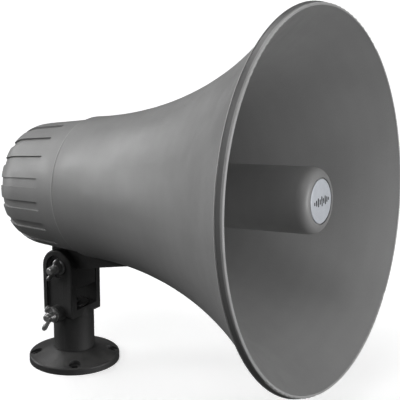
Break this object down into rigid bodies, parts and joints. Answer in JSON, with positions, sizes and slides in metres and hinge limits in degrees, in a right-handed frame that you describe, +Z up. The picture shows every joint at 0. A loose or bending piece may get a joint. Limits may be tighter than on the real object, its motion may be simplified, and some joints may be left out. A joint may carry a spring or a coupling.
{
  "type": "paging horn loudspeaker",
  "caption": "Round re-entrant paging horn with a flared bell, central reflector and fluted rear cover, on a swivel bracket with a round base flange.",
  "frame": {"origin": "centre of the base flange's underside, on the swivel axis", "axes": "+Z up along the swivel axis, +X towards the side that the mouth faces, +Y to the horn's left; at rest the horn's axis is tilted 4.87 degrees up"},
  "size_m": [0.2886, 0.28, 0.3133],
  "materials": {
    "bell_plastic": "satin grey moulded ABS",
    "bracket_plastic": "charcoal glass-filled nylon",
    "badge_metal": "satin silver",
    "zinc_steel": "bright zinc plate",
    "black_steel": "black oxide, oiled",
    "nylon": "dark nylon",
    "rubber": "matt black",
    "black_plastic": "black moulded plastic",
    "cast_aluminium": "as cast",
    "plate_steel": "zinc plated plate",
    "ferrite": "dark grey ceramic magnet",
    "phenolic_cloth": "resin-treated cloth",
    "copper": "enamelled copper wire",
    "lamination_steel": "varnished laminations",
    "terminal_brass": "plain brass"
  },
  "bodies": {
    "base": {"base": "bracket_plastic", "swivel_washer": "nylon", "swivel_cap_washer": "black_steel", "swivel_cap_screw": "black_steel"},
    "swivel": {"swivel_fork": "bracket_plastic", "pan_lock_stud": "zinc_steel", "pan_lock_washer": "zinc_steel", "tilt_bolt": "zinc_steel", "tilt_washers": "zinc_steel", "tilt_friction_washers": "nylon"},
    "horn": {"horn_bell": "bell_plastic", "rear_cover": "bell_plastic", "reflector": "bell_plastic", "tone_tube": "bell_plastic", "saddle": "bracket_plastic", "badge": "badge_metal", "cover_screws": "zinc_steel", "saddle_screws": "zinc_steel", "tone_tube_screws": "zinc_steel", "driver_screws": "zinc_steel", "nose_screw": "zinc_steel", "nose_nut": "zinc_steel", "transformer_screws": "zinc_steel", "transformer_clamps": "zinc_steel", "cover_seal": "rubber", "driver_gasket": "rubber", "cable_gland_seal": "rubber", "cable_gland_body": "black_plastic", "cable_gland_nut": "black_plastic", "cable_gland_locknut": "black_plastic", "tap_switch": "black_plastic", "terminal_block": "black_plastic", "tube_spider": "black_plastic", "phase_plug": "black_plastic", "throat_plate": "cast_aluminium", "diaphragm_clamp_ring": "cast_aluminium", "top_plate": "plate_steel", "magnet_yoke": "plate_steel", "magnet": "ferrite", "transformer_winding": "copper", "speaker_leads": "copper", "transformer_core": "lamination_steel", "driver_terminals": "terminal_brass", "terminal_screws": "terminal_brass"},
    "tilt_wing_nut": {"tilt_wing_nut": "zinc_steel"},
    "pan_wing_nut": {"pan_wing_nut": "zinc_steel"},
    "diaphragm": {"diaphragm": "phenolic_cloth", "voice_coil": "copper"},
    "tap_selector": {"tap_selector_knob": "black_plastic"}
  },
  "joints": [
    {"name": "pan_swivel", "type": "hinge", "parent": "base", "child": "swivel", "pos_m": [0, 0, 0.044], "axis": [0, 0, 1], "continuous": true},
    {"name": "horn_tilt", "type": "hinge", "parent": "swivel", "child": "horn", "pos_m": [-0.00115, 0, 0.0862], "axis": [0, 1, 0], "range_deg": [-80, 60]},
    {"name": "tilt_wing_nut_spin", "type": "hinge", "parent": "swivel", "child": "tilt_wing_nut", "pos_m": [-0.00115, -0.021, 0.0862], "axis": [0, -1, 0], "continuous": true},
    {"name": "pan_wing_nut_spin", "type": "hinge", "parent": "swivel", "child": "pan_wing_nut", "pos_m": [-0.00115, -0.027, 0.0466], "axis": [0, -1, 0], "continuous": true},
    {"name": "tap_selector_turn", "type": "hinge", "parent": "horn", "child": "tap_selector", "pos_m": [-0.03553, 0, 0.14726], "axis": [-0.9964, 0, -0.0849], "range_deg": [-60, 60]},
    {"name": "diaphragm_travel", "type": "slide", "parent": "horn", "child": "diaphragm", "axis": [0.9964, 0, 0.0849], "range_m": [-0.0003, 0.0003], "stiffness_N_per_m": 4000}
  ]
}
